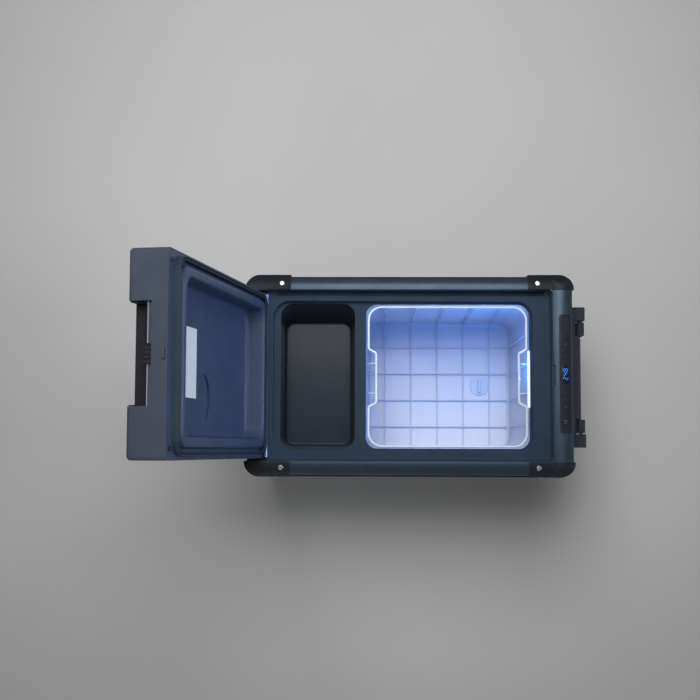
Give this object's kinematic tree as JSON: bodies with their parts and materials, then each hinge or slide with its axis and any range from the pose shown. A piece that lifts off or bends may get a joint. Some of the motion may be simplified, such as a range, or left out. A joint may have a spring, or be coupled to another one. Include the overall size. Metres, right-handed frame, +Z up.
{
  "type": "compressor cooler fridge",
  "caption": "Portable compressor cooler fridge with a side-hinged lid standing open, wire basket, dry tray, control strip and folding end handles.",
  "frame": {"origin": "on the floor under the middle of the body, at the centre of the four foot bushes", "axes": "+X towards the front end with the control panel and +Y towards the back long side; +Z up"},
  "size_m": [0.794, 0.4012, 0.9871],
  "materials": {
    "frame": "satin slate-blue moulded plastic",
    "shell": "slate-blue painted sheet steel, satin",
    "deck": "dark slate moulded plastic, fine grain",
    "black_plastic": "black moulded plastic",
    "liner_white": "white food-safe plastic",
    "foam": "rigid polyurethane foam",
    "lid_blue": "dark blue moulded plastic",
    "rubber": "black rubber",
    "zinc_steel": "zinc-plated steel",
    "nickel": "nickel-plated steel",
    "copper": "copper tube",
    "black_metal": "black painted steel",
    "aluminium": "mill-finish aluminium fins",
    "panel_gloss": "gloss black plastic",
    "display": "smoked display window",
    "key_black": "satin black key cap",
    "lamp_lens": "opal diffuser",
    "wire_white": "white dip-coated steel wire",
    "label": "blank white label",
    "board": "green circuit board",
    "plug": "translucent white plastic"
  },
  "bodies": {
    "cabinet": {"outer_shell": "shell", "vent_grilles": "black_plastic", "base_pan": "black_plastic", "rubber_feet": "rubber", "foot_inserts": "zinc_steel", "top_frame": "frame", "deck_moulding": "deck", "upper_tray": "deck", "inner_liner": "liner_white", "foam_insulation": "foam", "top_corner_protectors": "black_plastic", "bottom_corner_protectors": "black_plastic", "protector_screws": "nickel", "drain_tube": "black_plastic", "led_lens": "lamp_lens", "led_housing": "black_plastic", "evaporator_coil": "copper", "compressor": "black_metal", "compressor_grommets": "rubber", "condenser": "aluminium", "fan_frame": "black_plastic", "filter_drier": "copper", "refrigerant_lines": "copper", "controller_case": "black_plastic", "controller_board": "board", "power_socket": "black_plastic", "control_panel": "panel_gloss", "display_window": "display", "striker_plate": "zinc_steel", "front_handle_bracket": "black_plastic", "front_handle_pins": "zinc_steel", "rear_handle_bracket": "black_plastic", "rear_handle_pins": "zinc_steel", "hinge_knuckles": "zinc_steel", "hinge_pins": "zinc_steel"},
    "lid": {"lid_cover": "frame", "lid_grip_liner": "black_plastic", "lid_inner_liner": "lid_blue", "lid_foam": "foam", "lid_gasket": "rubber", "lid_label": "label", "lid_screws": "black_metal", "latch_spring": "zinc_steel"},
    "latch": {"lid_latch": "black_plastic"},
    "basket": {"basket_rim": "wire_white", "basket_cross_wires": "wire_white", "basket_long_wires": "wire_white", "basket_lower_ring": "wire_white"},
    "front_handle": {"front_handle_bail": "black_plastic", "front_handle_grip": "rubber"},
    "rear_handle": {"rear_handle_bail": "black_plastic", "rear_handle_grip": "rubber"},
    "fan": {"fan_rotor": "black_plastic"},
    "drain_plug": {"drain_plug": "plug"},
    "key_power": {"key_power": "key_black"},
    "key_mode": {"key_mode": "key_black"},
    "key_up": {"key_up": "key_black"},
    "key_down": {"key_down": "key_black"},
    "key_lamp": {"key_lamp": "key_black"}
  },
  "joints": [
    {"name": "lid_hinge", "type": "hinge", "parent": "cabinet", "child": "lid", "pos_m": [-0.281, 0, 0.433], "axis": [0, -1, 0], "range_deg": [-99.7, 0]},
    {"name": "latch_slide", "type": "slide", "parent": "lid", "child": "latch", "axis": [0.1685, 0, -0.9857], "range_m": [0, 0.007], "stiffness_N_per_m": 300, "springref_m": -0.003, "deforming": ["latch_spring"]},
    {"name": "basket_lift", "type": "slide", "parent": "cabinet", "child": "basket", "axis": [0, 0, 1], "range_m": [0, 0.36]},
    {"name": "front_handle_pivot", "type": "hinge", "parent": "cabinet", "child": "front_handle", "pos_m": [0.343, 0, 0.382], "axis": [0, -1, 0], "range_deg": [0, 90]},
    {"name": "rear_handle_pivot", "type": "hinge", "parent": "cabinet", "child": "rear_handle", "pos_m": [-0.343, 0, 0.382], "axis": [0, 1, 0], "range_deg": [0, 90]},
    {"name": "fan_spin", "type": "hinge", "parent": "cabinet", "child": "fan", "pos_m": [-0.221, 0.105, 0.135], "axis": [0, 1, 0], "continuous": true},
    {"name": "drain_plug_turn", "type": "hinge", "parent": "cabinet", "child": "drain_plug", "pos_m": [0.168, -0.002, 0.074], "axis": [0, 0, 1], "range_deg": [0, 90]},
    {"name": "key_power_press", "type": "slide", "parent": "cabinet", "child": "key_power", "axis": [0, 0, -1], "range_m": [0, 0.0008], "stiffness_N_per_m": 600, "springref_m": -0.0004},
    {"name": "key_mode_press", "type": "slide", "parent": "cabinet", "child": "key_mode", "axis": [0, 0, -1], "range_m": [0, 0.0008], "stiffness_N_per_m": 600, "springref_m": -0.0004},
    {"name": "key_up_press", "type": "slide", "parent": "cabinet", "child": "key_up", "axis": [0, 0, -1], "range_m": [0, 0.0008], "stiffness_N_per_m": 600, "springref_m": -0.0004},
    {"name": "key_down_press", "type": "slide", "parent": "cabinet", "child": "key_down", "axis": [0, 0, -1], "range_m": [0, 0.0008], "stiffness_N_per_m": 600, "springref_m": -0.0004},
    {"name": "key_lamp_press", "type": "slide", "parent": "cabinet", "child": "key_lamp", "axis": [0, 0, -1], "range_m": [0, 0.0008], "stiffness_N_per_m": 600, "springref_m": -0.0004}
  ]
}
